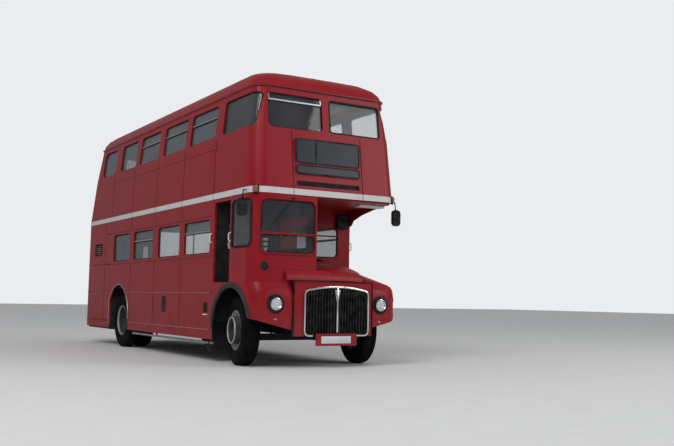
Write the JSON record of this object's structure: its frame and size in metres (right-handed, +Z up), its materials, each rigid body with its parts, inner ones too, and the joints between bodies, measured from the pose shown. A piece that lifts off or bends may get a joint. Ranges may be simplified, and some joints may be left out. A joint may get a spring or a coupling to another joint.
{
  "type": "double decker bus",
  "caption": "Half-cab double decker bus with an open rear platform, front engine under a lifting bonnet, sliding cab door, steered front wheels and twin rear wheels.",
  "frame": {"origin": "on the ground under the middle of the bus", "axes": "+Z up, front towards -Y, driver's side (offside) at -X, kerb side (nearside) at +X"},
  "size_m": [2.77, 8.38, 4.38],
  "materials": {
    "body_red": "gloss coach enamel, lightly weathered",
    "band_cream": "semi-gloss",
    "saloon_floor": "slatted, worn",
    "ceiling_cream": "satin",
    "chassis_dark": "matt, dusty",
    "chrome": "bright",
    "glass": "clear",
    "tyre": "matt",
    "pole_steel": "bright",
    "moquette": "short pile",
    "trim_black": "matt",
    "lens_orange": "clear gloss"
  },
  "bodies": {
    "bus_body": {"band": "band_cream", "cab_floor": "chassis_dark", "cab_nearside_panel": "body_red", "cab_shell": "body_red", "cab_side_glass": "glass", "driver_seat": "trim_black", "engine": "chassis_dark", "front_axle": "chassis_dark", "front_bulkhead": "body_red", "front_subframe": "chassis_dark", "glass_lower_nearside": "glass", "glass_lower_offside": "glass", "glass_lower_rear": "glass", "glass_upper_front": "glass", "glass_upper_nearside": "glass", "glass_upper_offside": "glass", "glass_upper_rear": "glass", "grille": "chrome", "headlamp_nearside": "chrome", "headlamp_offside": "chrome", "indicator_nearside": "lens_orange", "indicator_offside": "lens_orange", "lower_floor": "saloon_floor", "lower_rear": "body_red", "lower_side_nearside": "body_red", "lower_side_offside": "body_red", "mirror_nearside": "trim_black", "mirror_offside": "trim_black", "nose_cowl": "body_red", "number_plate_box": "body_red", "platform_pole": "pole_steel", "radiator_panel": "body_red", "rear_axle": "chassis_dark", "roof": "body_red", "seats_lower_nearside": "moquette", "seats_lower_offside": "moquette", "seats_upper_nearside": "moquette", "seats_upper_offside": "moquette", "stairs": "chassis_dark", "steering_wheel": "trim_black", "upper_floor": "ceiling_cream", "upper_front": "body_red", "upper_rear": "body_red", "upper_side_nearside": "body_red", "upper_side_offside": "body_red", "windscreen": "glass", "wing_nearside": "body_red", "wing_offside": "body_red"},
    "knuckle_offside": {"knuckle_offside": "chassis_dark"},
    "knuckle_nearside": {"knuckle_nearside": "chassis_dark"},
    "wheel_front_offside": {"wheel_front_offside": "tyre"},
    "wheel_front_nearside": {"wheel_front_nearside": "tyre"},
    "wheel_rear_offside": {"wheel_rear_offside": "tyre"},
    "wheel_rear_nearside": {"wheel_rear_nearside": "tyre"},
    "cab_door": {"cab_door": "body_red"},
    "bonnet": {"bonnet": "body_red"},
    "emergency_window": {"emergency_window": "body_red"}
  },
  "joints": [
    {"name": "steer_offside", "type": "hinge", "parent": "bus_body", "child": "knuckle_offside", "pos_m": [-0.8, -3.29, 0.508], "axis": [0, 0, 1], "range_deg": [-30, 46]},
    {"name": "steer_nearside", "type": "hinge", "parent": "bus_body", "child": "knuckle_nearside", "pos_m": [0.8, -3.29, 0.508], "axis": [0, 0, 1], "range_deg": [-30, 46]},
    {"name": "spin_front_offside", "type": "hinge", "parent": "knuckle_offside", "child": "wheel_front_offside", "pos_m": [-0.9733, -3.26565, 0.508], "axis": [0.9903, -0.1392, 0], "continuous": true},
    {"name": "spin_front_nearside", "type": "hinge", "parent": "knuckle_nearside", "child": "wheel_front_nearside", "pos_m": [0.9733, -3.31435, 0.508], "axis": [0.9903, -0.1392, 0], "continuous": true},
    {"name": "spin_rear_offside", "type": "hinge", "parent": "bus_body", "child": "wheel_rear_offside", "pos_m": [-0.89, 1.841, 0.508], "axis": [1, 0, 0], "continuous": true},
    {"name": "spin_rear_nearside", "type": "hinge", "parent": "bus_body", "child": "wheel_rear_nearside", "pos_m": [0.89, 1.841, 0.508], "axis": [1, 0, 0], "continuous": true},
    {"name": "cab_door_slide", "type": "slide", "parent": "bus_body", "child": "cab_door", "axis": [0, 1, 0], "range_m": [0, 0.59]},
    {"name": "bonnet_lift", "type": "hinge", "parent": "bus_body", "child": "bonnet", "pos_m": [0, -2.675, 1.616], "axis": [-1, 0, 0], "range_deg": [0, 38]},
    {"name": "emergency_window_lift", "type": "hinge", "parent": "bus_body", "child": "emergency_window", "pos_m": [0, 3.758, 3.945], "axis": [1, 0, 0], "range_deg": [0, 60]}
  ],
  "couplings": [
    {"joint": "steer_nearside", "follows": "steer_offside", "ratio": 1}
  ]
}
